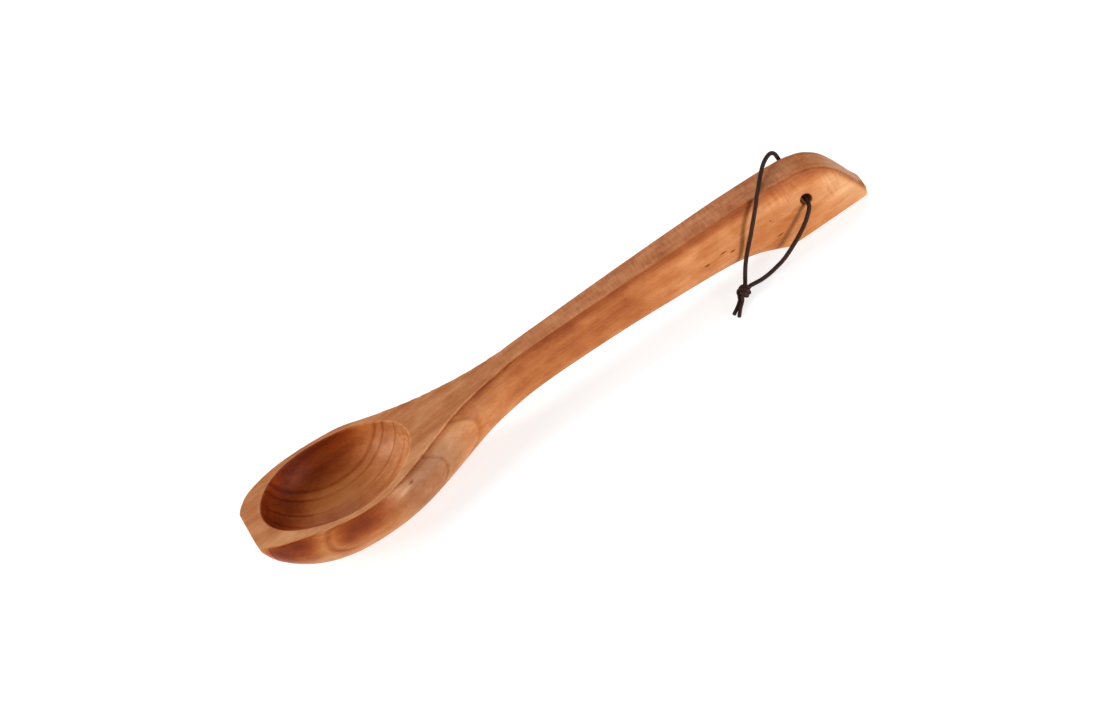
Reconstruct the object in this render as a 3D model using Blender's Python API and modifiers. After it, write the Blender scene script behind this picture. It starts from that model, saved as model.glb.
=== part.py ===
"""A carved wooden ladle with a leather hanging thong.

The ladle is one piece of hardwood: a deep oval bowl with a blunt pouring lip, a neck that narrows into a
deep, slim handle, and a heel under the handle's end that the ladle rests on together with its bowl.
A thin round leather thong runs through a cross hole in the heel, goes back over the top of the handle, and
its two ends are tied together in one overhand knot that lies on the table beside the handle.

Frame: metres, +Z up, +X from the lip to the handle's end, y = 0 is the plane of symmetry, z = 0 is the
surface that the ladle rests on, and x = 0 is halfway along it.
"""

import math

import bmesh
import bpy
from mathutils import Vector

MM = 0.001

# The carved body, in mm, as stations from the lip to the handle's end. Each row holds
# x, half width of the top face, height of the top face, height of the underside, how far the flank
# swells out past its upper edge, the drop of the carved step below the top face's edge,
# and the squareness of the section's lower half (2 is an ellipse, 16 is nearly a box).
# An underside below 0 is sanded flat at 0, under the middle of the bowl and under the heel.
STATIONS = (
    (-200.0, 20.0, 41.4, 33.0, 0.2, 0.0, 2.0),
    (-198.0, 23.3, 41.4, 28.2, 0.3, 0.0, 2.0),
    (-196.0, 25.4, 41.4, 24.0, 0.4, 0.0, 2.0),
    (-190.0, 30.3, 41.3, 17.0, 0.6, 0.0, 2.0),
    (-180.0, 35.3, 41.1, 8.4, 0.9, 0.0, 2.0),
    (-170.0, 38.9, 40.5, 3.3, 1.1, 0.0, 2.0),
    (-155.0, 42.4, 38.7, 0.2, 1.3, 0.0, 2.05),
    (-140.0, 43.6, 37.1, -0.3, 1.5, 0.0, 2.1),
    (-125.0, 42.2, 36.1, -0.3, 1.8, 0.3, 2.15),
    (-110.0, 36.1, 35.8, 0.2, 2.4, 2.4, 2.3),
    (-95.0, 28.8, 36.3, 1.6, 3.2, 4.2, 2.4),
    (-80.0, 21.8, 37.4, 3.6, 3.6, 3.9, 2.5),
    (-65.0, 15.8, 38.8, 6.8, 3.4, 3.8, 2.7),
    (-50.0, 11.6, 39.7, 10.0, 2.6, 4.0, 3.0),
    (-35.0, 9.0, 40.5, 12.0, 1.8, 3.8, 3.4),
    (-20.0, 7.8, 41.4, 13.1, 1.2, 1.6, 3.8),
    (5.0, 7.9, 42.1, 13.7, 0.9, 0.0, 4.0),
    (40.0, 8.7, 42.8, 13.5, 0.9, 0.0, 4.0),
    (80.0, 9.4, 43.2, 11.7, 0.9, 0.0, 4.0),
    (105.0, 9.8, 43.3, 10.1, 0.9, 0.0, 4.0),
    (121.0, 10.1, 43.3, 8.1, 0.8, 0.0, 4.5),
    (132.0, 10.2, 43.2, 5.1, 0.8, 0.0, 6.0),
    (140.0, 10.4, 43.0, 2.0, 0.8, 0.0, 9.0),
    (147.0, 10.6, 42.7, -0.5, 0.8, 0.0, 14.0),
    (160.0, 10.8, 42.0, -0.5, 0.8, 0.0, 16.0),
    (172.0, 10.6, 40.3, -0.5, 0.8, 0.0, 16.0),
    (182.0, 10.2, 36.0, -0.5, 0.9, 0.0, 16.0),
    (190.0, 9.2, 27.6, -0.5, 1.8, 0.0, 16.0),
    (196.0, 7.4, 15.5, -0.5, 3.4, 0.0, 12.0),
    (198.0, 6.9, 10.5, -0.5, 3.8, 0.0, 10.0),
    (200.0, 6.5, 7.2, 4.4, 3.6, 0.0, 4.0),
)
HALF_WIDTH, TOP, UNDERSIDE, SWELL, STEP, SQUARENESS = range(1, 7)
STEP_LEAN = 0.15  # how far the step's foot stands out, as a share of its drop
WIDEST = 0.3  # where the section is widest, as a share of the way from its upper edge to the underside

RING_SPACING = 5.0  # mm between sections, closer where stations are closer
STEP_POINTS = 2
SWELL_POINTS = 3
LOWER_POINTS = 10

# The hollow of the bowl: half of an ellipsoid, its rim an oval in the top face.
HOLLOW_CENTRE_X = -140.9
HOLLOW_HALF_LENGTH = 47.2
HOLLOW_HALF_WIDTH = 38.6
HOLLOW_RIM_Z = 37.5
HOLLOW_FLOOR_Z = 7.0
HOLLOW_SEGMENTS = 48
HOLLOW_RINGS = 24
HOLLOW_WALL_RISE = 0.5  # how far the straight walls go above the rim, as a share of the depth

# The cross hole for the thong, through the heel from side to side.
HOLE_X = 167.0
HOLE_Z = 22.7
HOLE_RADIUS = 3.5
HOLE_SIDES = 24
HOLE_CUTTER_LENGTH = 40.0

# The thong. Both strands start at the middle of the cross hole.
THONG_RADIUS = 1.25
TAIL_RADIUS = 1.1  # the lace is pulled a little thinner past the knot
THONG_POINT_SPACING = 4.8  # mm, about two diameters
CURVE_STEPS = 20  # straight steps between two of a route's points, when its length is measured
NEAR_STRAND = (
    (167.0, -0.15, 22.9),
    (167.0, -5.0, 22.7),
    (167.0, -9.5, 22.5),
    (166.9, -13.0, 21.8),
    (166.0, -16.4, 20.8),
    (163.0, -19.0, 18.8),
    (157.7, -20.5, 15.0),
    (152.0, -20.8, 11.2),
    (146.0, -20.8, 7.6),
    (138.0, -21.2, 3.9),
    (132.0, -21.6, 2.5),
    (126.5, -22.0, 1.7),
    (121.0, -22.2, 1.5),
    (116.2, -22.3, 2.1),
    (113.4, -22.9, 2.8),
)
FAR_STRAND = (
    (167.0, 0.15, 22.9),
    (167.0, 5.0, 23.1),
    (167.0, 9.5, 23.5),
    (167.0, 12.7, 24.7),
    (167.1, 14.6, 27.8),
    (167.2, 14.9, 34.0),
    (167.3, 14.8, 39.4),
    (166.8, 14.2, 43.4),
    (164.8, 12.6, 46.0),
    (161.4, 9.8, 46.9),
    (157.2, 5.8, 46.6),
    (152.0, -0.4, 45.2),
    (146.9, -9.4, 45.1),
    (144.0, -13.0, 44.2),
    (141.2, -15.5, 41.8),
    (135.0, -17.6, 35.2),
    (129.3, -17.4, 27.6),
    (123.7, -15.6, 19.4),
    (118.4, -15.4, 12.0),
    (114.6, -18.0, 7.5),
    (112.2, -21.4, 5.6),
)
KNOT_CENTRE = (108.9, -25.4, 3.3)
KNOT_HALF_SIZES = (4.4, 3.6, 3.1)  # along the tails, across them, and up
KNOT_TURN = math.radians(35)  # the tails' heading, from the knot back towards -X
TAILS = (
    ((104.2, -28.4, 2.1), (100.9, -31.0, 1.4), (97.2, -34.2, 1.3)),
    ((105.9, -30.3, 2.1), (102.5, -34.4, 1.4), (99.0, -39.4, 1.3)),
)

WOOD_COLOUR = (0.50, 0.20, 0.07, 1.0)
THONG_COLOUR = (0.035, 0.022, 0.018, 1.0)


def clear_scene():
    for item in list(bpy.data.objects):
        bpy.data.objects.remove(item, do_unlink=True)


def make_collection(name):
    group = bpy.data.collections.new(name)
    bpy.context.scene.collection.children.link(group)
    return group


def make_material(name, colour, roughness):
    material = bpy.data.materials.new(name)
    material.use_nodes = True
    shader = material.node_tree.nodes["Principled BSDF"]
    shader.inputs["Base Color"].default_value = colour
    shader.inputs["Roughness"].default_value = roughness
    shader.inputs["Metallic"].default_value = 0.0
    return material


def station_value(x, column):
    """Read one column of STATIONS at x, on a smooth curve through the stations."""
    last = len(STATIONS) - 1
    left = 0
    while left < last - 1 and STATIONS[left + 1][0] <= x:
        left += 1

    def slope(first, second):
        run = STATIONS[second][0] - STATIONS[first][0]
        return (STATIONS[second][column] - STATIONS[first][column]) / run

    def tangent(index):
        if index == 0 or index == last:
            return slope(max(index - 1, 0), min(index + 1, last))
        before = slope(index - 1, index)
        after = slope(index, index + 1)
        if before * after <= 0.0:
            return 0.0
        run_before = STATIONS[index][0] - STATIONS[index - 1][0]
        run_after = STATIONS[index + 1][0] - STATIONS[index][0]
        return (before * run_after + after * run_before) / (run_before + run_after)

    start, end = STATIONS[left], STATIONS[left + 1]
    run = end[0] - start[0]
    t = (x - start[0]) / run
    return (
        (2 * t**3 - 3 * t**2 + 1) * start[column]
        + (t**3 - 2 * t**2 + t) * run * tangent(left)
        + (3 * t**2 - 2 * t**3) * end[column]
        + (t**3 - t**2) * run * tangent(left + 1)
    )


def half_section(x):
    """The body's outline at x on its +Y side, from the middle of the top face to the middle below."""
    half_width = station_value(x, HALF_WIDTH)
    top = station_value(x, TOP)
    underside = station_value(x, UNDERSIDE)
    swell = station_value(x, SWELL)
    drop = max(station_value(x, STEP), 0.05)
    squareness = station_value(x, SQUARENESS)

    foot_y = half_width + STEP_LEAN * drop
    foot_z = top - drop
    widest_z = foot_z - WIDEST * (foot_z - underside)
    widest_y = foot_y + swell
    outline = [(0.0, top)]
    for index in range(STEP_POINTS):
        t = index / STEP_POINTS
        outline.append((half_width + (foot_y - half_width) * t, top - drop * t))
    for index in range(SWELL_POINTS):
        t = index / SWELL_POINTS
        outline.append((foot_y + swell * math.sin(math.pi / 2 * t), foot_z + (widest_z - foot_z) * t))
    for index in range(LOWER_POINTS):
        angle = math.pi / 2 * index / LOWER_POINTS
        y = widest_y * math.cos(angle) ** (2 / squareness)
        z = widest_z - (widest_z - underside) * math.sin(angle) ** (2 / squareness)
        outline.append((y, max(z, 0.0)))
    outline.append((0.0, max(underside, 0.0)))
    return outline


def ring_places():
    places = []
    for start, end in zip(STATIONS[:-1], STATIONS[1:]):
        count = max(1, round((end[0] - start[0]) / RING_SPACING))
        places += [start[0] + (end[0] - start[0]) * index / count for index in range(count)]
    return places + [STATIONS[-1][0]]


def make_body(group, material):
    """Loft one half of the body along X, open at y = 0, and mirror it."""
    mesh = bpy.data.meshes.new("ladle")
    shape = bmesh.new()
    rings = [
        [shape.verts.new((x * MM, y * MM, z * MM)) for y, z in half_section(x)]
        for x in ring_places()
    ]
    for ring, following in zip(rings[:-1], rings[1:]):
        for index in range(len(ring) - 1):
            shape.faces.new((ring[index], following[index], following[index + 1], ring[index + 1]))
    shape.faces.new(rings[0])
    shape.faces.new(list(reversed(rings[-1])))
    bmesh.ops.recalc_face_normals(shape, faces=shape.faces)
    shape.to_mesh(mesh)
    shape.free()
    body = bpy.data.objects.new("ladle", mesh)
    group.objects.link(body)
    body.data.materials.append(material)
    mirror = body.modifiers.new("other_half", "MIRROR")
    mirror.use_axis = (False, True, False)
    mirror.merge_threshold = 0.00001
    return body


def as_cutter(cutter, group):
    for owner in list(cutter.users_collection):
        owner.objects.unlink(cutter)
    group.objects.link(cutter)
    cutter.hide_render = True
    cutter.display_type = "WIRE"
    return cutter


def make_hollow_cutter(group):
    """The lower half of an ellipsoid, with straight walls from its widest section up through the rim."""
    mesh = bpy.data.meshes.new("bowl_hollow")
    shape = bmesh.new()
    bmesh.ops.create_uvsphere(
        shape, u_segments=HOLLOW_SEGMENTS, v_segments=HOLLOW_RINGS, radius=1.0
    )
    above = [vertex for vertex in shape.verts if vertex.co.z > 0.001]
    bmesh.ops.delete(shape, geom=above, context="VERTS")
    rim = [edge for edge in shape.edges if edge.is_boundary]
    raised = bmesh.ops.extrude_edge_only(shape, edges=rim)["geom"]
    new_vertices = [item for item in raised if isinstance(item, bmesh.types.BMVert)]
    bmesh.ops.translate(shape, verts=new_vertices, vec=Vector((0.0, 0.0, HOLLOW_WALL_RISE)))
    bmesh.ops.holes_fill(shape, edges=[edge for edge in shape.edges if edge.is_boundary])
    bmesh.ops.recalc_face_normals(shape, faces=shape.faces)
    depth = HOLLOW_RIM_Z - HOLLOW_FLOOR_Z
    bmesh.ops.scale(
        shape,
        vec=Vector((HOLLOW_HALF_LENGTH, HOLLOW_HALF_WIDTH, depth)) * MM,
        verts=shape.verts,
    )
    shape.to_mesh(mesh)
    shape.free()
    cutter = bpy.data.objects.new("bowl_hollow", mesh)
    cutter.location = Vector((HOLLOW_CENTRE_X, 0.0, HOLLOW_RIM_Z)) * MM
    return as_cutter(cutter, group)


def make_hole_cutter(group):
    bpy.ops.mesh.primitive_cylinder_add(
        vertices=HOLE_SIDES,
        radius=HOLE_RADIUS * MM,
        depth=HOLE_CUTTER_LENGTH * MM,
        location=(HOLE_X * MM, 0.0, HOLE_Z * MM),
        rotation=(math.pi / 2, 0.0, 0.0),
    )
    cutter = bpy.context.object
    cutter.name = "cross_hole"
    return as_cutter(cutter, group)


def cut(body, cutter):
    modifier = body.modifiers.new(cutter.name, "BOOLEAN")
    modifier.operation = "DIFFERENCE"
    modifier.solver = "EXACT"
    modifier.object = cutter


def smooth_route(route, spacing):
    """Points at an even spacing on a smooth curve through the route's own points."""
    ends = [route[0]] + list(route) + [route[-1]]
    points = [Vector(point) for point in ends]
    dense = []
    for index in range(1, len(points) - 2):
        before, start, end, after = points[index - 1:index + 3]
        for step in range(CURVE_STEPS):
            t = step / CURVE_STEPS
            dense.append(
                0.5 * (
                    2 * start
                    + (end - before) * t
                    + (2 * before - 5 * start + 4 * end - after) * t**2
                    + (3 * start - before - 3 * end + after) * t**3
                )
            )
    dense.append(points[-2])
    travelled = [0.0]
    for first, second in zip(dense[:-1], dense[1:]):
        travelled.append(travelled[-1] + (second - first).length)
    count = max(2, round(travelled[-1] / spacing))
    result = []
    index = 0
    for number in range(count + 1):
        wanted = travelled[-1] * number / count
        while index < len(dense) - 2 and travelled[index + 1] < wanted:
            index += 1
        share = (wanted - travelled[index]) / (travelled[index + 1] - travelled[index])
        result.append(dense[index].lerp(dense[index + 1], min(share, 1.0)))
    return result


def make_thong_piece(name, route, radius, group, material):
    curve = bpy.data.curves.new(name, "CURVE")
    curve.dimensions = "3D"
    curve.bevel_depth = radius * MM
    curve.bevel_resolution = 2
    curve.use_fill_caps = True
    points = smooth_route(route, THONG_POINT_SPACING)
    spline = curve.splines.new("POLY")
    spline.points.add(len(points) - 1)
    for target, point in zip(spline.points, points):
        target.co = (point.x * MM, point.y * MM, point.z * MM, 1.0)
    piece = bpy.data.objects.new(name, curve)
    piece.data.materials.append(material)
    group.objects.link(piece)


def make_knot(group, material):
    bpy.ops.mesh.primitive_uv_sphere_add(segments=16, ring_count=8, radius=1.0)
    knot = bpy.context.object
    knot.name = "thong_knot"
    knot.data.name = "thong_knot"
    for vertex in knot.data.vertices:
        vertex.co = Vector(
            [size * MM * part for size, part in zip(KNOT_HALF_SIZES, vertex.co)]
        )
    knot.rotation_euler = (0.0, 0.0, KNOT_TURN)
    knot.location = Vector(KNOT_CENTRE) * MM
    knot.data.shade_smooth()
    knot.data.materials.append(material)
    for owner in list(knot.users_collection):
        owner.objects.unlink(knot)
    group.objects.link(knot)


def main():
    clear_scene()
    pieces = make_collection("wooden_ladle")
    cutters = make_collection("cutters")
    wood = make_material("oiled_hardwood", WOOD_COLOUR, 0.45)
    leather = make_material("dark_leather", THONG_COLOUR, 0.6)

    body = make_body(pieces, wood)
    cut(body, make_hollow_cutter(cutters))
    cut(body, make_hole_cutter(cutters))

    make_thong_piece("thong_near_strand", NEAR_STRAND, THONG_RADIUS, pieces, leather)
    make_thong_piece("thong_far_strand", FAR_STRAND, THONG_RADIUS, pieces, leather)
    make_knot(pieces, leather)
    for number, route in enumerate(TAILS, start=1):
        make_thong_piece(f"thong_tail_{number}", route, TAIL_RADIUS, pieces, leather)


main()
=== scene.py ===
import bisect
import math

import bpy
from mathutils import Matrix, Vector


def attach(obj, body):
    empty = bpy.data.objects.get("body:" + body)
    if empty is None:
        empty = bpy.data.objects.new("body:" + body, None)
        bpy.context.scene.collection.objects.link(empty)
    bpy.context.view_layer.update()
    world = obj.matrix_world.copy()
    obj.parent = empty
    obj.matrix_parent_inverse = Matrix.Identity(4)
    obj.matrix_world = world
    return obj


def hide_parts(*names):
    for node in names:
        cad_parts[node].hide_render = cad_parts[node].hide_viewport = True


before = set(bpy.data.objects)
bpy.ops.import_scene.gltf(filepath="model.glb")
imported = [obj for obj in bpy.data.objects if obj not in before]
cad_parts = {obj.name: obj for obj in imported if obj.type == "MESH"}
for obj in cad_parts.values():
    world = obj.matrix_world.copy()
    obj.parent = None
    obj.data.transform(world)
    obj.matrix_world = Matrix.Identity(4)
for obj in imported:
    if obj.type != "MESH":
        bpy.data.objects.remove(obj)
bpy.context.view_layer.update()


# ---------------------------------------------------------------------------------------------------
# Camera. A long lens from well back, square to the ladle's side and raised 35 degrees, tipped over so
# that the ladle runs from the lower left to the upper right.
VIEW_HEIGHT = math.radians(35.0)
VIEW_ROLL = math.radians(34.0)
VIEW_DISTANCE = 4.0
LENS_MM = 231.0
SENSOR_MM = 36.0
LOOK_AT = Vector((-0.00382, 0.0, 0.0216))

towards_camera = Vector((0.0, -math.cos(VIEW_HEIGHT), math.sin(VIEW_HEIGHT)))
level_right = Vector((1.0, 0.0, 0.0))
level_up = towards_camera.cross(level_right)
right = level_right * math.cos(VIEW_ROLL) - level_up * math.sin(VIEW_ROLL)
up = level_right * math.sin(VIEW_ROLL) + level_up * math.cos(VIEW_ROLL)
camera_data = bpy.data.cameras.new("camera")
camera_data.lens = LENS_MM
camera_data.sensor_width = SENSOR_MM
camera_data.clip_end = 10 * VIEW_DISTANCE
camera = bpy.data.objects.new("camera", camera_data)
bpy.context.scene.collection.objects.link(camera)
turn = Matrix((right, up, towards_camera)).transposed().to_4x4()
camera.matrix_world = Matrix.Translation(LOOK_AT + towards_camera * VIEW_DISTANCE) @ turn
bpy.context.scene.camera = camera


# ---------------------------------------------------------------------------------------------------
# The hanging thong. A thin round leather lace, dark brown and matt. It runs through the cross hole in
# the heel, one strand hangs down in front and lies on the table, the other goes back over the top of
# the handle, and both are tied together in one overhand knot with two short tails.
# Places and lengths are in mm, and MM turns them into metres.
MM = 0.001
THONG_DIAMETER = 2.5
THONG_ROUNDNESS = 5  # the curve's bevel resolution
THONG_POINT_SPACING = 0.7
CURVE_STEPS = 20  # straight steps between two of a route's points
NEAR_STRAND = (
    (167.0, -0.15, 22.9), (167.0, -5.0, 22.7), (167.0, -9.5, 22.5), (166.9, -13.0, 21.8),
    (166.0, -16.4, 20.8), (163.0, -19.0, 18.8), (157.7, -20.5, 15.0), (152.0, -20.8, 11.2),
    (146.0, -20.8, 7.6), (138.0, -21.2, 3.9), (132.0, -21.6, 2.5), (126.5, -22.0, 1.7),
    (121.0, -22.2, 1.5), (116.2, -22.3, 2.1), (113.4, -22.9, 2.8),
)
FAR_STRAND = (
    (167.0, 0.15, 22.9), (167.0, 5.0, 23.1), (167.0, 9.5, 23.5), (167.0, 12.7, 24.7),
    (167.1, 14.6, 27.8), (167.2, 14.9, 34.0), (167.3, 14.8, 39.4), (166.8, 14.2, 43.4),
    (164.8, 12.6, 46.0), (161.4, 9.8, 46.9), (157.2, 5.8, 46.6), (152.0, -0.4, 45.2),
    (146.9, -9.4, 45.1), (144.0, -13.0, 44.2), (141.2, -15.5, 41.8), (135.0, -17.6, 35.2),
    (129.3, -17.4, 27.6), (123.7, -15.6, 19.4), (118.4, -15.4, 12.0), (114.6, -18.0, 7.5),
    (112.2, -21.4, 5.6),
)
NEAR_MOUTH = (0.1670, -0.0115, 0.0222)  # m, where each strand leaves the cross hole
FAR_MOUTH = (0.1670, 0.0115, 0.0241)
NEAR_END = ((111.0, -24.2, 2.6), (109.2, -25.4, 2.5))  # each strand's last points, inside the knot
FAR_END = ((110.6, -24.4, 5.2), (109.0, -25.4, 4.9))
KNOT_CENTRE = Vector((108.7, -25.7, 3.85))
KNOT_TURN = math.radians(35.0)  # the way the strands come in, about Z
KNOT_LACE = 2.25  # the lace's thickness in the knot, where it is pulled thinner
# Inside the knot, places are in lace thicknesses along the knot's line, and out from it.
CORE_RADIUS = 0.55
SHOULDER_RADIUS = 0.95
WRAP_RADIUS = 1.33
WRAP_FLATNESS = 0.88
WRAP_REACH = 1.0  # the wrap runs from this far on the tails' side to this far on the strands' side
WRAP_TURN = 340.0  # degrees, and it starts this far round from where the lace came in
WRAP_START = 55.0
WRAP_STEPS = 14
NEAR_TAIL = ((104.0, -28.1, 2.3), (100.6, -31.4, 1.4), (96.7, -35.0, 1.25))
FAR_TAIL = ((105.0, -30.0, 2.3), (101.7, -33.7, 1.4), (98.4, -39.4, 1.25))


def add_node(tree, kind, **inputs):
    """Add a shader node. An input is a value, or a socket to link, and _0 is the first input.

    A name that starts with set_ is a setting.
    """
    made = tree.nodes.new(kind)
    for name, value in inputs.items():
        if name.startswith("set_"):
            setattr(made, name[4:], value)
    for name, value in inputs.items():
        if name.startswith("set_"):
            continue
        socket = made.inputs[int(name[1:])] if name[0] == "_" else made.inputs[name.replace("_", " ")]
        if isinstance(value, bpy.types.NodeSocket):
            tree.links.new(value, socket)
        else:
            socket.default_value = value
    return made


def between(tree, value, low, high, at_low=0.0, at_high=1.0):
    """The value's straight line from at_low, where it is low, to at_high, where it is high, held beyond."""
    return add_node(tree, "ShaderNodeMapRange", Value=value, From_Min=low, From_Max=high, To_Min=at_low,
                    To_Max=at_high).outputs[0]


def new_material(name):
    """A new material, with its node tree and its shader."""
    material = bpy.data.materials.new(name)
    material.use_nodes = True
    return material, material.node_tree, material.node_tree.nodes["Principled BSDF"]


def smooth_points(route, spacing):
    """Evenly spaced points, in metres, on a smooth curve through the route's own points."""
    points = [Vector(point) for point in [route[0]] + list(route) + [route[-1]]]
    dense = []
    for index in range(1, len(points) - 2):
        before, start, end, after = points[index - 1:index + 3]
        for step in range(CURVE_STEPS):
            t = step / CURVE_STEPS
            dense.append(0.5 * (
                2 * start
                + (end - before) * t
                + (2 * before - 5 * start + 4 * end - after) * t**2
                + (3 * start - before - 3 * end + after) * t**3
            ))
    dense.append(points[-2])
    travelled = [0.0]
    for first, second in zip(dense[:-1], dense[1:]):
        travelled.append(travelled[-1] + (second - first).length)
    count = max(2, round(travelled[-1] / spacing))
    result = []
    index = 0
    for number in range(count + 1):
        wanted = travelled[-1] * number / count
        while index < len(dense) - 2 and travelled[index + 1] < wanted:
            index += 1
        share = (wanted - travelled[index]) / (travelled[index + 1] - travelled[index])
        result.append(dense[index].lerp(dense[index + 1], min(share, 1.0)) * MM)
    return result


leather, tree, shader = new_material("dark_leather")
on_lace = add_node(tree, "ShaderNodeTexCoord").outputs["Object"]
grain = add_node(tree, "ShaderNodeTexNoise", Vector=on_lace, Scale=1400.0, Detail=4.0, Roughness=0.6)
wear = add_node(tree, "ShaderNodeTexNoise", Vector=on_lace, Scale=160.0, Detail=3.0)
tone = add_node(tree, "ShaderNodeMix", set_data_type="RGBA", _0=wear.outputs["Fac"],
                _6=(0.012, 0.006, 0.004, 1.0), _7=(0.050, 0.022, 0.014, 1.0))
tree.links.new(tone.outputs[2], shader.inputs["Base Color"])
tree.links.new(between(tree, wear.outputs["Fac"], 0.0, 1.0, 0.55, 0.75), shader.inputs["Roughness"])
shader.inputs["Specular IOR Level"].default_value = 0.12
crinkle = add_node(tree, "ShaderNodeBump", Height=grain.outputs["Fac"], Strength=0.5, Distance=0.0002)
tree.links.new(crinkle.outputs[0], shader.inputs["Normal"])


def lace_curve(name, route, diameter):
    curve = bpy.data.curves.new(name, "CURVE")
    curve.dimensions = "3D"
    curve.bevel_depth = diameter / 2 * MM
    curve.bevel_resolution = THONG_ROUNDNESS
    curve.use_fill_caps = True
    points = smooth_points(route, THONG_POINT_SPACING)
    spline = curve.splines.new("POLY")
    spline.points.add(len(points) - 1)
    for target, point in zip(spline.points, points):
        target.co = (*point, 1.0)
    curve.materials.append(leather)
    lace = bpy.data.objects.new(name, curve)
    bpy.context.scene.collection.objects.link(lace)
    return lace


def route_length(route):
    """The route's length in metres, to the millimetre."""
    points = smooth_points(route, THONG_POINT_SPACING)
    return round(sum((b - a).length for a, b in zip(points[:-1], points[1:])), 3)


def knot_point(along, turn, radius):
    """A point of the knot: along its line to the strands, turned round it in degrees, and out from it."""
    towards = Vector((math.cos(KNOT_TURN), math.sin(KNOT_TURN), 0.0))
    sideways = Vector((-math.sin(KNOT_TURN), math.cos(KNOT_TURN), 0.0))
    angle = math.radians(turn)
    across = sideways * math.cos(angle) + Vector((0.0, 0.0, WRAP_FLATNESS * math.sin(angle)))
    return KNOT_CENTRE + (towards * along + across * radius) * KNOT_LACE


def lace_through_knot(first_turn, tail):
    """One lace: in along the knot's middle, out, once round both laces, and back through to its tail."""
    route = [knot_point(along, first_turn, CORE_RADIUS) for along in (0.7, 0.0, -0.75)]
    route.append(knot_point(-1.2, first_turn + 25, SHOULDER_RADIUS))
    for step in range(WRAP_STEPS + 1):
        share = step / WRAP_STEPS
        along = WRAP_REACH * (2.0 * share - 1.0)
        route.append(knot_point(along, first_turn + WRAP_START + WRAP_TURN * share, WRAP_RADIUS))
    wrap_end = first_turn + WRAP_START + WRAP_TURN
    route.append(knot_point(1.2, wrap_end + 35, SHOULDER_RADIUS))
    route += [knot_point(along, wrap_end + 55, CORE_RADIUS) for along in (0.75, 0.0, -0.8, -1.6)]
    return route + [Vector(point) for point in tail]


near_route = NEAR_STRAND + NEAR_END
far_route = FAR_STRAND + FAR_END
near_strand = lace_curve("near_strand", near_route, THONG_DIAMETER)
far_strand = lace_curve("far_strand", far_route, THONG_DIAMETER)
bpy.ops.object.select_all(action="DESELECT")
for first_turn, tail in ((270, NEAR_TAIL), (90, FAR_TAIL)):
    lace = lace_curve("thong_knot_tied", lace_through_knot(first_turn, tail), KNOT_LACE)
    lace.select_set(True)
    bpy.context.view_layer.objects.active = lace
bpy.ops.object.convert(target="MESH")
bpy.ops.object.join()
knot = bpy.context.object
knot.name = knot.data.name = "tied_knot"
bpy.ops.object.mode_set(mode="EDIT")
bpy.ops.mesh.select_all(action="SELECT")
bpy.ops.mesh.remove_doubles(threshold=0.00001)
bpy.ops.mesh.normals_make_consistent(inside=False)
bpy.ops.object.mode_set(mode="OBJECT")
bpy.ops.object.shade_smooth_by_angle(angle=math.radians(50.0))
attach(knot, "root")
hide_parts("thong_knot", "thong_tail_1", "thong_tail_2")
for strand, route, node, hole_mouth in (
    (near_strand, near_route, "thong_near_strand", NEAR_MOUTH),
    (far_strand, far_route, "thong_far_strand", FAR_MOUTH),
):
    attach(strand, "root")
    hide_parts(node)
    route_length(route)


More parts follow.
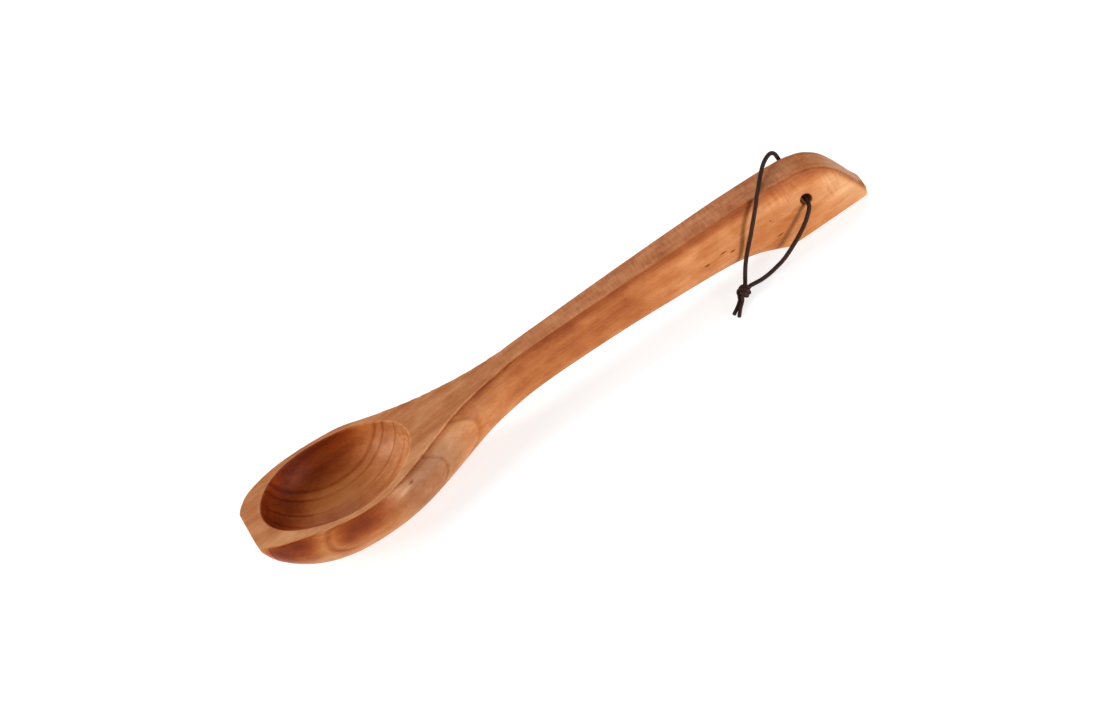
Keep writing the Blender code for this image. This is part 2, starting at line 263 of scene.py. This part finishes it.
# ---------------------------------------------------------------------------------------------------
# The ladle's body. One piece of orange-brown hardwood, carved and sanded by hand and then oiled. The
# growth layers stand upright along the ladle, so the bowl's hollow shows them as nested oval lines, the
# top face as straight lengthwise ones, and the flanks as broad flame-like patches.
# Stations in mm from the lip to the handle's end: x, half width of the top face, height of the top
# face, height of the underside, how far the flank swells out, the drop of the carved step below the top
# face's edge, and the squareness of the section's lower half.
STATIONS = (
    (-200.0, 20.0, 41.4, 33.0, 0.2, 0.0, 2.0),
    (-198.0, 23.3, 41.4, 28.2, 0.3, 0.0, 2.0),
    (-196.0, 25.4, 41.4, 24.0, 0.4, 0.0, 2.0),
    (-190.0, 30.3, 41.3, 17.0, 0.6, 0.0, 2.0),
    (-180.0, 35.3, 41.1, 8.4, 0.9, 0.0, 2.0),
    (-170.0, 38.9, 40.5, 3.3, 1.1, 0.0, 2.0),
    (-155.0, 42.4, 38.7, 0.2, 1.3, 0.0, 2.05),
    (-140.0, 43.6, 37.1, -0.3, 1.5, 0.0, 2.1),
    (-125.0, 42.2, 36.1, -0.3, 1.8, 0.3, 2.15),
    (-110.0, 36.1, 35.8, 0.2, 2.4, 2.4, 2.3),
    (-95.0, 28.8, 36.3, 1.6, 3.2, 4.2, 2.4),
    (-80.0, 21.8, 37.4, 3.6, 3.6, 3.9, 2.5),
    (-65.0, 15.8, 38.8, 6.8, 3.4, 3.8, 2.7),
    (-50.0, 11.6, 39.7, 10.0, 2.6, 4.0, 3.0),
    (-35.0, 9.0, 40.5, 12.0, 1.8, 3.8, 3.4),
    (-20.0, 7.8, 41.4, 13.1, 1.2, 1.6, 3.8),
    (5.0, 7.9, 42.1, 13.7, 0.9, 0.0, 4.0),
    (40.0, 8.7, 42.8, 13.5, 0.9, 0.0, 4.0),
    (80.0, 9.4, 43.2, 11.7, 0.9, 0.0, 4.0),
    (105.0, 9.8, 43.3, 10.1, 0.9, 0.0, 4.0),
    (121.0, 10.1, 43.3, 8.1, 0.8, 0.0, 4.5),
    (132.0, 10.2, 43.2, 5.1, 0.8, 0.0, 6.0),
    (140.0, 10.4, 43.0, 2.0, 0.8, 0.0, 9.0),
    (147.0, 10.6, 42.7, -0.5, 0.8, 0.0, 14.0),
    (160.0, 10.8, 42.0, -0.5, 0.8, 0.0, 16.0),
    (172.0, 10.6, 40.3, -0.5, 0.8, 0.0, 16.0),
    (182.0, 10.2, 36.0, -0.5, 0.9, 0.0, 16.0),
    (190.0, 9.2, 27.6, -0.5, 1.8, 0.0, 16.0),
    (196.0, 7.4, 15.5, -0.5, 3.4, 0.0, 12.0),
    (198.0, 6.9, 10.5, -0.5, 3.8, 0.0, 10.0),
    (200.0, 6.5, 7.2, 4.4, 3.6, 0.0, 4.0),
)
HALF_WIDTH, TOP, UNDERSIDE, SWELL, STEP, SQUARENESS = range(1, 7)
LIP_END, HEEL_END = STATIONS[0][0], STATIONS[-1][0]
STEP_LEAN = 0.15  # how far the step's foot stands out, as a share of its drop
COVE_DEPTH = 0.36  # how far the step's wall is hollowed in below the crest, as a share of its drop
DEEPEST_COVE = 1.1
COVE_FULLNESS = 0.7  # under 1, the cove is round at the bottom and steep at its edges
WIDEST = 0.3  # where the section is widest, as a share of the way from the step's foot to the underside
EDGE_ROUNDING = 0.65  # how far the carved edges are rubbed round, and how much more at the heel and bowl
HEEL_ROUNDING = 1.5
BOWL_ROUNDING = 0.9
ROUNDING_STEPS = 6
BODY_ROWS = 400  # stretches along the body, one each millimetre
TOP_COLUMNS = 14
STEP_COLUMNS = 8
SWELL_COLUMNS = 9
LOWER_COLUMNS = 30
HOLLOW_CENTRE = Vector((-140.9, 0.0, 37.5))
HOLLOW_HALF_SIZES = Vector((47.2, 38.6, 30.5))
HOLE_PLACE = Vector((167.0, 0.0, 22.7))
HOLE_RADIUS = 3.5
HOLE_DRILL_LENGTH = 40.0
LIP_SKEW = 2.0  # how far the lip leans to the near side
LIP_BOW = 0.003  # how far the ends curve back, in mm for each square mm of the distance across
HEEL_BOW_NEAR = 0.004
HEEL_BOW_FAR = 0.028
VOXEL = 0.58  # the size of the even mesh's squares
TRIANGLE_LIMIT = 190000


def share_of_way(value, start, end):
    """How far the value is on the way from start to end, from 0 to 1."""
    return min(max((value - start) / (end - start), 0.0), 1.0)


def station_value(x, column):
    """Read one column of STATIONS at x, on a smooth curve through the stations."""
    last = len(STATIONS) - 1
    left = max(index for index in range(last) if STATIONS[index][0] <= x or index == 0)

    def slope(first, second):
        run = STATIONS[second][0] - STATIONS[first][0]
        return (STATIONS[second][column] - STATIONS[first][column]) / run

    def tangent(index):
        if index in (0, last):
            return slope(max(index - 1, 0), min(index + 1, last))
        before, after = slope(index - 1, index), slope(index, index + 1)
        if before * after <= 0.0:
            return 0.0
        run_before = STATIONS[index][0] - STATIONS[index - 1][0]
        run_after = STATIONS[index + 1][0] - STATIONS[index][0]
        return (before * run_after + after * run_before) / (run_before + run_after)

    start, end = STATIONS[left], STATIONS[left + 1]
    run = end[0] - start[0]
    t = (x - start[0]) / run
    return (
        (2 * t**3 - 3 * t**2 + 1) * start[column]
        + (t**3 - 2 * t**2 + t) * run * tangent(left)
        + (3 * t**2 - 2 * t**3) * end[column]
        + (t**3 - t**2) * run * tangent(left + 1)
    )


def half_section(x):
    """The body's outline at x on one side, from the middle of the top face to the middle below."""
    half_width = station_value(x, HALF_WIDTH)
    top = station_value(x, TOP)
    underside = station_value(x, UNDERSIDE)
    swell = station_value(x, SWELL)
    drop = max(station_value(x, STEP), 0.05)
    squareness = station_value(x, SQUARENESS)
    foot_y = half_width + STEP_LEAN * drop
    foot_z = top - drop
    widest_z = foot_z - WIDEST * (foot_z - underside)
    widest_y = foot_y + swell
    outline = [(half_width * index / TOP_COLUMNS, top) for index in range(TOP_COLUMNS)]
    for index in range(STEP_COLUMNS):
        t = index / STEP_COLUMNS
        cove = min(COVE_DEPTH * drop, DEEPEST_COVE) * math.sin(math.pi * t) ** COVE_FULLNESS
        outline.append((half_width + (foot_y - half_width) * t - cove, top - drop * t))
    for index in range(SWELL_COLUMNS):
        t = index / SWELL_COLUMNS
        outline.append((foot_y + swell * math.sin(math.pi / 2 * t), foot_z + (widest_z - foot_z) * t))
    for index in range(LOWER_COLUMNS + 1):
        angle = math.pi / 2 * index / LOWER_COLUMNS
        y = widest_y * max(math.cos(angle), 0.0) ** (2 / squareness)
        z = widest_z - (widest_z - underside) * math.sin(angle) ** (2 / squareness)
        outline.append((0.0 if index == LOWER_COLUMNS else y, max(z, 0.0)))
    return outline


def softened(outline, reach):
    """The outline with its corners rubbed round: each point is the mean of the stretch within its reach."""
    mirrored = [(-y, z) for y, z in outline]
    whole = mirrored[:0:-1] + outline + mirrored[-2::-1]
    travelled = [0.0]
    for (y0, z0), (y1, z1) in zip(whole[:-1], whole[1:]):
        travelled.append(travelled[-1] + math.hypot(y1 - y0, z1 - z0))

    def place(distance):
        index = bisect.bisect_right(travelled, distance) - 1
        index = min(max(index, 0), len(whole) - 2)
        run = travelled[index + 1] - travelled[index]
        share = (distance - travelled[index]) / run if run > 0.0 else 0.0
        return tuple(a + (b - a) * share for a, b in zip(whole[index], whole[index + 1]))

    result = []
    for index in range(len(outline)):
        middle = travelled[len(mirrored) - 1 + index]
        steps = range(-ROUNDING_STEPS, ROUNDING_STEPS + 1)
        near_points = [place(middle + reach * step / ROUNDING_STEPS) for step in steps]
        result.append(tuple(sum(point[axis] for point in near_points) / len(steps) for axis in (0, 1)))
    result[0] = (0.0, result[0][1])
    result[-1] = (0.0, result[-1][1])
    return result


def apply_modifier(piece, kind, **settings):
    modifier = piece.modifiers.new(kind.lower(), kind)
    for name, value in settings.items():
        setattr(modifier, name, value)
    bpy.context.view_layer.objects.active = piece
    bpy.ops.object.modifier_apply(modifier=modifier.name)


def subtract(piece, cutter):
    apply_modifier(piece, "BOOLEAN", operation="DIFFERENCE", solver="EXACT", object=cutter)
    bpy.data.objects.remove(cutter)


bpy.ops.object.select_all(action="DESELECT")
columns = TOP_COLUMNS + STEP_COLUMNS + SWELL_COLUMNS + LOWER_COLUMNS
bpy.ops.mesh.primitive_grid_add(x_subdivisions=BODY_ROWS, y_subdivisions=columns, size=2.0)
body = bpy.context.object
body.name = body.data.name = "ladle_body"
row_places = [LIP_END + (HEEL_END - LIP_END) * row / BODY_ROWS for row in range(BODY_ROWS + 1)]
sections = []
for x in row_places:
    reach = EDGE_ROUNDING + HEEL_ROUNDING * share_of_way(x, 115.0, 155.0)
    reach += BOWL_ROUNDING * share_of_way(x, -110.0, -170.0)
    sections.append(softened(half_section(x), reach))
for vertex in body.data.vertices:
    row = round((vertex.co.x + 1.0) / 2.0 * BODY_ROWS)
    column = round((vertex.co.y + 1.0) / 2.0 * columns)
    vertex.co = Vector((row_places[row], *sections[row][column])) * MM
apply_modifier(body, "MIRROR", use_axis=(False, True, False), merge_threshold=0.00001)
bpy.ops.object.mode_set(mode="EDIT")
bpy.ops.mesh.select_all(action="SELECT")
bpy.ops.mesh.fill_holes(sides=0)
bpy.ops.mesh.normals_make_consistent(inside=False)
bpy.ops.object.mode_set(mode="OBJECT")

# The lip's end is a shallow curve, carved a little towards the near side, and the heel's end is rounded
# more on its far side.
for vertex in body.data.vertices:
    x, y, z = vertex.co / MM
    lip = share_of_way(x, -188.0, LIP_END) ** 2
    heel = share_of_way(x, 184.0, HEEL_END) ** 2
    heel_bow = HEEL_BOW_FAR if y > 0.0 else HEEL_BOW_NEAR
    vertex.co.x += (lip * LIP_BOW - heel * heel_bow) * y * y * MM
    vertex.co.y -= lip * LIP_SKEW * MM

# The hollow is half an ellipsoid with straight walls above its widest section.
bpy.ops.mesh.primitive_uv_sphere_add(segments=192, ring_count=96, radius=1.0)
hollow = bpy.context.object
for vertex in hollow.data.vertices:
    if vertex.co.z > 0.001:
        radius = max(math.hypot(vertex.co.x, vertex.co.y), 0.001)
        vertex.co.x /= radius
        vertex.co.y /= radius
    vertex.co = (HOLLOW_CENTRE + vertex.co * HOLLOW_HALF_SIZES) * MM
subtract(body, hollow)

bpy.ops.mesh.primitive_cylinder_add(vertices=96, radius=HOLE_RADIUS * MM, depth=HOLE_DRILL_LENGTH * MM,
                                    location=HOLE_PLACE * MM, rotation=(math.pi / 2, 0.0, 0.0))
subtract(body, bpy.context.object)

# The cuts leave long thin faces, so the body is remade in an even mesh, drawn back onto the carved shape
# and then smoothed, which rubs the rim and the hole's mouths a little round.
crisp = body.copy()
crisp.data = body.data.copy()
bpy.context.scene.collection.objects.link(crisp)
apply_modifier(body, "REMESH", mode="VOXEL", voxel_size=VOXEL * MM)
apply_modifier(body, "SHRINKWRAP", target=crisp, wrap_method="NEAREST_SURFACEPOINT")
bpy.data.objects.remove(crisp)
apply_modifier(body, "SMOOTH", factor=0.5, iterations=4)
apply_modifier(body, "DECIMATE", ratio=min(TRIANGLE_LIMIT / (2 * len(body.data.polygons)), 1.0))
bpy.ops.object.select_all(action="DESELECT")
body.select_set(True)
bpy.ops.object.shade_smooth()

# Painted shade and a painted highlight, kept per point: painted shade inside the cord hole, most there,
# then in the cove under the crest, and some below the handle's ridge. The crest itself is painted paler, a
# painted highlight.
HOLE_PAINTED_SHADE = 2.2
HOLE_SHADE_REACH = 9.3  # the hole is dark inside this distance from the middle of the handle
RIDGE_PAINTED_SHADE = 0.75
RIDGE_SHADE_DEPTH = 4.0
CREST_HIGHLIGHT = 0.35
COVE_MIDDLE = 0.45  # below the crest, as a share of the step's drop
COVE_SPREAD = 0.24
FULL_STEP = 2.0  # a step with less drop than this gets less painted shade
SHADE_EDGE_BAND = 1.2  # painted shade and highlight reach only this far in from the top face's edge

painted_shade = body.data.attributes.new("painted_shade", "FLOAT", "POINT")
measures = {}
for vertex in body.data.vertices:
    x, y, z = vertex.co / MM
    from_hole = math.hypot(x - HOLE_PLACE.x, z - HOLE_PLACE.z)
    # Painted shade inside the cord hole.
    if abs(y) < HOLE_SHADE_REACH and from_hole < HOLE_RADIUS + 1.0:
        painted_shade.data[vertex.index].value = HOLE_PAINTED_SHADE
        continue
    nearest = min(max(round(x), -199), 199)
    if nearest not in measures:
        measures[nearest] = [station_value(nearest, column) for column in (HALF_WIDTH, TOP, STEP)]
    half_width, top, drop = measures[nearest]
    if abs(y) < half_width - SHADE_EDGE_BAND:
        continue
    below = top - z
    dark = 0.0
    # The crest gets a painted highlight, and the cove under it painted shade.
    if drop > 0.3 and below < 0.5:
        dark = -CREST_HIGHLIGHT * min(drop / FULL_STEP, 1.0)
    elif drop > 0.3:
        from_cove = (below - COVE_MIDDLE * drop) / (COVE_SPREAD * drop + 0.3)
        dark = math.exp(-from_cove ** 2) * min(drop / FULL_STEP, 1.0)
    # Painted shade below the handle's ridge.
    if x > -40.0:
        ridge = math.exp(-(max(below - 1.5, 0.0) / RIDGE_SHADE_DEPTH) ** 2) * share_of_way(nearest, -40, 0)
        dark = max(dark, RIDGE_PAINTED_SHADE * ridge * share_of_way(below, 0.0, 0.5))
    painted_shade.data[vertex.index].value = dark

wood, tree, shader = new_material("oiled_hardwood")
body.data.materials.clear()
body.data.materials.append(wood)

# Growth layers, by distance in mm across the plank: where each dark line lies, how wide and how dark.
GROWTH_LINES = (
    (-43.1, 0.8, 0.55), (-28.5, 0.7, 0.45), (-18.0, 1.1, 0.35), (-5.5, 0.5, 0.25), (0.8, 0.5, 0.3),
    (6.9, 1.4, 0.35), (15.2, 0.8, 0.6), (23.1, 1.0, 0.55), (27.1, 1.1, 0.5), (33.3, 1.0, 0.1),
)
LINE_START, LINE_END = 0.7, 1.3  # how far a line fades on its two sides, in widths
# How dark the wood is between the lines, 0 for the palest and 1 for the darkest of the colours below.
LAYER_TONES = (
    (-50.0, 0.38), (-40.0, 0.38), (-30.0, 0.36), (-27.5, 0.28), (-19.0, 0.36), (-16.0, 0.46), (0.0, 0.42),
    (6.9, 0.42), (13.0, 0.46), (16.0, 0.40), (22.0, 0.46), (24.0, 0.40), (27.0, 0.44), (30.0, 0.40),
    (36.0, 0.44), (50.0, 0.46),
)
PLANK_EDGE = 50.0
LAYER_TILT = -0.02  # the layers lean across by this share of the height
BOW_HEIGHT = 26.4  # the layers bow outwards above and below this height, on the far side by
FAR_BOW = 0.0096  # this many mm for each square mm
WOOD_COLOURS = (
    (0.0, (0.76, 0.43, 0.21)), (0.25, (0.61, 0.275, 0.112)), (0.5, (0.43, 0.142, 0.040)),
    (0.72, (0.28, 0.066, 0.014)), (1.0, (0.12, 0.019, 0.004)),
)


def calculate(operation, *values):
    made = tree.nodes.new("ShaderNodeMath")
    made.operation = operation
    for socket, value in zip(made.inputs, values):
        if isinstance(value, bpy.types.NodeSocket):
            tree.links.new(value, socket)
        else:
            socket.default_value = value
    return made.outputs[0]


def vector_math(operation, first, second):
    return add_node(tree, "ShaderNodeVectorMath", set_operation=operation, _0=first, _1=second).outputs[0]


def noise_along(vector, sizes, detail=2.0, roughness=0.5, output="Fac"):
    """Noise between 0 and 1, whose patches have about these sizes in mm along X, Y and Z."""
    scaled = add_node(tree, "ShaderNodeMapping", Vector=vector, Scale=tuple(1.0 / size for size in sizes))
    made = add_node(tree, "ShaderNodeTexNoise", Vector=scaled.outputs[0], Scale=1.0, Detail=detail,
                    Roughness=roughness)
    return made.outputs[output]


def ramp_of(value, steps, low=0.0, high=1.0):
    """A colour ramp of a value between low and high. A step is a place and a grey or a colour."""
    ramp = add_node(tree, "ShaderNodeValToRGB", Fac=between(tree, value, low, high))
    elements = ramp.color_ramp.elements
    while len(elements) < len(steps):
        elements.new(0.5)
    for element, (place, colour) in zip(elements, steps):
        element.position = (place - low) / (high - low)
        colour = colour if isinstance(colour, tuple) else (colour,) * 3
        element.color = (*colour, 1.0)
    return ramp.outputs[0]


def soft_spot(centre, sizes, core, strength=1.0):
    """An ellipsoid with this strength in its core, a share of it, falling to 0 at its skin. In mm."""
    scale = tuple(1.0 / size for size in sizes)
    shift = tuple(-middle * part for middle, part in zip(centre, scale))
    local = add_node(tree, "ShaderNodeMapping", Vector=in_mm, Location=shift, Scale=scale)
    distance = add_node(tree, "ShaderNodeVectorMath", set_operation="LENGTH", _0=local.outputs[0])
    fade = add_node(tree, "ShaderNodeMapRange", set_interpolation_type="SMOOTHSTEP",
                    Value=distance.outputs["Value"], From_Min=1.0, From_Max=core, To_Max=strength)
    return fade.outputs[0]


def soft_spots(*spots):
    """The strongest of several soft spots at each place."""
    strongest = soft_spot(*spots[0])
    for spot in spots[1:]:
        strongest = calculate("MAXIMUM", strongest, soft_spot(*spot))
    return strongest


def outside(mask, value):
    """The value where the mask is 0, and nothing where it is 1."""
    return calculate("MULTIPLY", value, calculate("SUBTRACT", 1.0, mask))


coordinates = add_node(tree, "ShaderNodeTexCoord")
in_mm = add_node(tree, "ShaderNodeVectorMath", set_operation="SCALE", _0=coordinates.outputs["Object"],
                 Scale=1.0 / MM).outputs[0]
along, sideways, upwards = add_node(tree, "ShaderNodeSeparateXYZ", Vector=in_mm).outputs
facing = add_node(tree, "ShaderNodeSeparateXYZ", Vector=coordinates.outputs["Normal"])
top_face = between(tree, facing.outputs["Z"], 0.8, 0.98)

# The grain sways slowly along the ladle, with a small ripple. These are patch sizes, and how far it goes.
swayed = in_mm
for sizes, reach in (((95.0, 42.0, 42.0), 4.0), ((14.0, 5.0, 5.0), 0.7)):
    sway = vector_math("SUBTRACT", noise_along(in_mm, sizes, output="Color"), (0.5, 0.5, 0.5))
    swayed = vector_math("ADD", swayed, vector_math("MULTIPLY", sway, (0.0, reach, reach)))
grain = add_node(tree, "ShaderNodeSeparateXYZ", Vector=swayed)
rise = calculate("SUBTRACT", grain.outputs["Z"], BOW_HEIGHT)
bow = between(tree, grain.outputs["Y"], -25.0, 20.0, 0.0, FAR_BOW)
bow = calculate("MULTIPLY", calculate("MULTIPLY", rise, rise), bow)
across_plank = calculate("MULTIPLY_ADD", grain.outputs["Z"], LAYER_TILT, grain.outputs["Y"])
across_plank = calculate("ADD", across_plank, bow)

line_steps = []
for middle, width, depth in GROWTH_LINES:
    line_steps += [(middle - LINE_START * width, 0.0), (middle, depth), (middle + LINE_END * width, 0.0)]
lines = ramp_of(across_plank, line_steps, -PLANK_EDGE, PLANK_EDGE)
layers = ramp_of(across_plank, LAYER_TONES, -PLANK_EDGE, PLANK_EDGE)
fibres = noise_along(swayed, (38.0, 0.9, 0.9), 3.0, 0.6)
coarse_fibres = noise_along(swayed, (70.0, 3.6, 3.6))
mottle = noise_along(in_mm, (15.0, 9.0, 9.0), 3.0, 0.55)
patches = noise_along(in_mm, (60.0, 26.0, 26.0))
pores = between(tree, noise_along(swayed, (3.2, 0.34, 0.34), 1.0), 0.62, 0.74)

# The lines are faint on the top face, and lost in a pale stretch of the near flank.
lines = calculate("MULTIPLY", lines, calculate("MULTIPLY_ADD", top_face, -0.75, 1.0))
lines = outside(soft_spot((-128.0, -44.0, 22.0), (31.0, 10.0, 20.0), 0.7), lines)

# The cutter's chatter across the handle's top face, and in two patches on the heel's near flank.
handle_top = calculate("MULTIPLY", top_face, between(tree, along, -60.0, 20.0))
heel_patches = soft_spots(((158.0, -11.0, 34.0), (17.0, 6.0, 9.0), 0.3),
                          ((184.0, -11.0, 22.0), (10.0, 6.0, 13.0), 0.3))
chatter = calculate("SUBTRACT", noise_along(in_mm, (1.7, 9.0, 14.0), 1.0), 0.5)
chatter = calculate("MULTIPLY", chatter, calculate("MAXIMUM", handle_top, heel_patches))

# Oil has darkened the hollow, and painted shade darkens it more towards its far left wall; a painted pool
# of light makes its floor paler beside that wall, and its far rim is darker. The mask is a little larger
# than the hollow, so that it takes in the wall.
in_hollow = soft_spot(HOLLOW_CENTRE, (48.7, 40.0, 32.0), 0.982)
leftwards = calculate("MULTIPLY_ADD", along, -0.7, calculate("MULTIPLY", sideways, 0.7))
hollow_tone = between(tree, leftwards, 84.0, 150.0, -0.12, 0.10)
# Painted shade on the upper far left wall of the hollow.
painted_shade_far_wall = calculate("MULTIPLY", between(tree, upwards, 12.0, 34.0), between(tree, leftwards, 94.0, 116.0))
# A painted pool of light on the hollow's floor.
painted_light_floor = soft_spot((-150.0, 22.0, 14.0), (36.0, 16.0, 12.0), 0.0)
far_rim = soft_spot((-138.0, 39.0, 37.0), (34.0, 12.0, 12.0), 0.2)
for amount, mask in ((0.38, painted_shade_far_wall), (-0.30, painted_light_floor), (0.12, far_rim)):
    hollow_tone = calculate("MULTIPLY_ADD", mask, amount, hollow_tone)
hollow_tone = calculate("MULTIPLY", in_hollow, hollow_tone)

# The gouge left fine rings round the hollow's wall, on the neck's side.
RING_TURNS = 150.0  # radians from the hollow's middle to its rim
in_plan = add_node(tree, "ShaderNodeMapping", Vector=in_mm,
                   Location=(-HOLLOW_CENTRE.x / HOLLOW_HALF_SIZES.x, 0.0, 0.0),
                   Scale=(1.0 / HOLLOW_HALF_SIZES.x, 1.0 / HOLLOW_HALF_SIZES.y, 0.0))
from_middle = add_node(tree, "ShaderNodeVectorMath", set_operation="LENGTH", _0=in_plan.outputs[0])
wander = calculate("SUBTRACT", noise_along(in_mm, (9.0, 9.0, 9.0)), 0.5)
wander = calculate("MULTIPLY_ADD", wander, 0.12, from_middle.outputs["Value"])
gouge_rings = calculate("SINE", calculate("MULTIPLY", wander, RING_TURNS))
gouge_rings = calculate("MULTIPLY", gouge_rings, soft_spot((-96.0, -4.0, 31.0), (17.0, 30.0, 15.0), 0.2))
gouge_rings = calculate("MULTIPLY", gouge_rings, in_hollow)

# Marks on the near flank: darker wood under the rim and at the lip, partly heartwood and partly painted
# shade under the rim, a redder stretch of handle, a painted pool of light on the heel, a pin knot with a
# pale fleck beside it, small dark flecks, and a painted shadow of the thong left of the cord hole. The cut
# ends of the fibres drink more oil, so they are darker.
# Heartwood colour, and painted shade under the rim.
heartwood_and_shade = soft_spots(((-184.0, -33.0, 36.0), (28.0, 18.0, 17.0), 0.2),
                       ((-144.0, -44.0, 33.0), (30.0, 10.0, 13.0), 0.1, 0.85))
heartwood_and_shade = outside(top_face, heartwood_and_shade)
redder = soft_spots(((15.0, -9.0, 30.0), (85.0, 25.0, 25.0), 0.2),
                    ((-142.0, -44.0, 25.0), (34.0, 16.0, 17.0), 0.2))
redder = outside(top_face, redder)
# A painted pool of light on the heel, paler and less saturated.
painted_light_heel = soft_spot((210.0, -10.0, 17.0), (50.0, 30.0, 38.0), 0.1)
pale_flecks = soft_spots(((-113.0, -38.0, 29.6), (9.0, 6.0, 2.4), 0.0),
                         ((30.0, -9.0, 40.0), (17.0, 6.0, 8.0), 0.2, 0.45))
dark_flecks = soft_spots(
    ((-106.5, -37.5, 30.6), (2.9, 4.0, 1.5), 0.1), ((99.9, -10.6, 22.1), (2.6, 2.0, 0.9), 0.1),
    ((111.2, -10.8, 23.5), (3.4, 2.0, 0.8), 0.1), ((116.3, -10.8, 20.8), (2.4, 2.0, 0.9), 0.1),
    ((143.5, -11.3, 23.9), (0.8, 1.5, 0.8), 0.1), ((144.0, -11.4, 12.2), (3.2, 2.0, 0.6), 0.1),
)
# A painted shadow of the thong's near strand, left of the cord hole.
painted_thong_shadow = soft_spots(((160.0, -11.5, 20.8), (6.0, 4.0, 2.0), 0.0),
                         ((153.5, -11.5, 18.6), (7.0, 4.0, 2.0), 0.0))
end_grain = calculate("MULTIPLY", facing.outputs["X"], facing.outputs["X"])
# The painted shade and highlight kept per point.
painted_shade_fac = add_node(tree, "ShaderNodeAttribute", set_attribute_name="painted_shade").outputs["Fac"]

# Each row is how much a mark darkens the wood, the mark, and its own middle value. Rows with painted shade,
# a painted shadow and a painted pool of light stand among the wood's own marks.
tone = calculate("ADD", layers, hollow_tone)
for amount, mark, middle in (
    (0.22, fibres, 0.5), (0.16, coarse_fibres, 0.5), (0.48, mottle, 0.5), (0.24, patches, 0.5),
    (0.07, pores, 0.0), (0.45, lines, 0.0), (-0.30, chatter, 0.0), (0.07, gouge_rings, 0.0),
    (0.52, heartwood_and_shade, 0.0), (0.17, redder, 0.0), (-0.26, painted_light_heel, 0.0), (-0.35, pale_flecks, 0.0),
    (0.55, dark_flecks, 0.0), (0.16, painted_thong_shadow, 0.0), (0.38, painted_shade_fac, 0.0), (0.12, end_grain, 0.0),
    (0.02, top_face, 0.0),
):
    tone = calculate("MULTIPLY_ADD", calculate("SUBTRACT", mark, middle), amount, tone)
colour = ramp_of(tone, WOOD_COLOURS)

# The hollow is tinted redder, more towards its far left. The flank beside the neck is tinted greyer, a
# painted sheen.
reddened_hollow = calculate("MULTIPLY", in_hollow, between(tree, leftwards, 80.0, 118.0))
# A painted sheen on the near flank beside the neck.
painted_sheen_flank = soft_spot((-93.0, -34.0, 22.0), (50.0, 26.0, 22.0), 0.35)
painted_sheen_flank = outside(in_hollow, outside(top_face, painted_sheen_flank))
for mask, tint in (
    (reddened_hollow, (1.22, 0.96, 0.60)), (painted_sheen_flank, (0.66, 0.65, 0.72)), (heartwood_and_shade, (1.0, 0.72, 0.40)),
    (painted_light_heel, (0.97, 1.12, 1.32)), (handle_top, (0.97, 0.86, 0.80)),
):
    colour = add_node(tree, "ShaderNodeMix", set_data_type="RGBA", set_blend_type="MULTIPLY", _0=mask,
                      _6=colour, _7=(*tint, 1.0)).outputs[2]
tree.links.new(colour, shader.inputs["Base Color"])
tree.links.new(between(tree, mottle, 0.0, 1.0, 0.36, 0.56), shader.inputs["Roughness"])
shader.inputs["Specular IOR Level"].default_value = 0.14
height = calculate("SUBTRACT", calculate("MULTIPLY", fibres, 0.4), pores)
for tool_marks in (chatter, gouge_rings):
    height = calculate("ADD", height, tool_marks)
surface = add_node(tree, "ShaderNodeBump", Height=height, Strength=0.35, Distance=0.1 * MM)
tree.links.new(surface.outputs[0], shader.inputs["Normal"])
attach(body, "root")
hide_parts("ladle")


# ---------------------------------------------------------------------------------------------------
# The table and the light. A plain pale table that glows a little, so that shadows on it stay faint, a
# pale room, and three soft studio lights.
TABLE_SIZE = 60.0
TABLE_GREY = 0.38
TABLE_GLOW = 0.76
ROOM_LIGHT = 0.27

bpy.ops.mesh.primitive_plane_add(size=TABLE_SIZE)
table = bpy.context.object
table.name = "table"
paint, tree, shader = new_material("pale_table")
shader.inputs["Base Color"].default_value = (TABLE_GREY, TABLE_GREY, TABLE_GREY, 1.0)
shader.inputs["Roughness"].default_value = 0.7
shader.inputs["Emission Color"].default_value = (1.0, 1.0, 1.0, 1.0)
shader.inputs["Emission Strength"].default_value = TABLE_GLOW
table.data.materials.append(paint)

world = bpy.data.worlds.new("pale_room")
bpy.context.scene.world = world
world.use_nodes = True
world.node_tree.nodes["Background"].inputs["Color"].default_value = (1.0, 1.0, 1.0, 1.0)
world.node_tree.nodes["Background"].inputs["Strength"].default_value = ROOM_LIGHT
bpy.context.scene.view_settings.view_transform = "Standard"


def add_softbox(name, place, aim, width, height, watts):
    light = bpy.data.lights.new(name, "AREA")
    light.shape = "RECTANGLE"
    light.size, light.size_y = width, height
    light.energy = watts
    lamp = bpy.data.objects.new(name, light)
    bpy.context.scene.collection.objects.link(lamp)
    lamp.location = place
    lamp.rotation_euler = (Vector(aim) - Vector(place)).to_track_quat("-Z", "Y").to_euler()


add_softbox("left_softbox", (-1.5, 0.1, 0.72), (-0.1, 0.0, 0.0), width=0.8, height=0.6, watts=20.0)
add_softbox("right_softbox", (0.50, -0.78, 0.11), (0.1, 0.0, 0.03), width=0.18, height=0.18, watts=6.3)
add_softbox("top_softbox", (0.2, 0.9, 1.2), (0.0, 0.0, 0.0), width=1.0, height=0.8, watts=9.5)
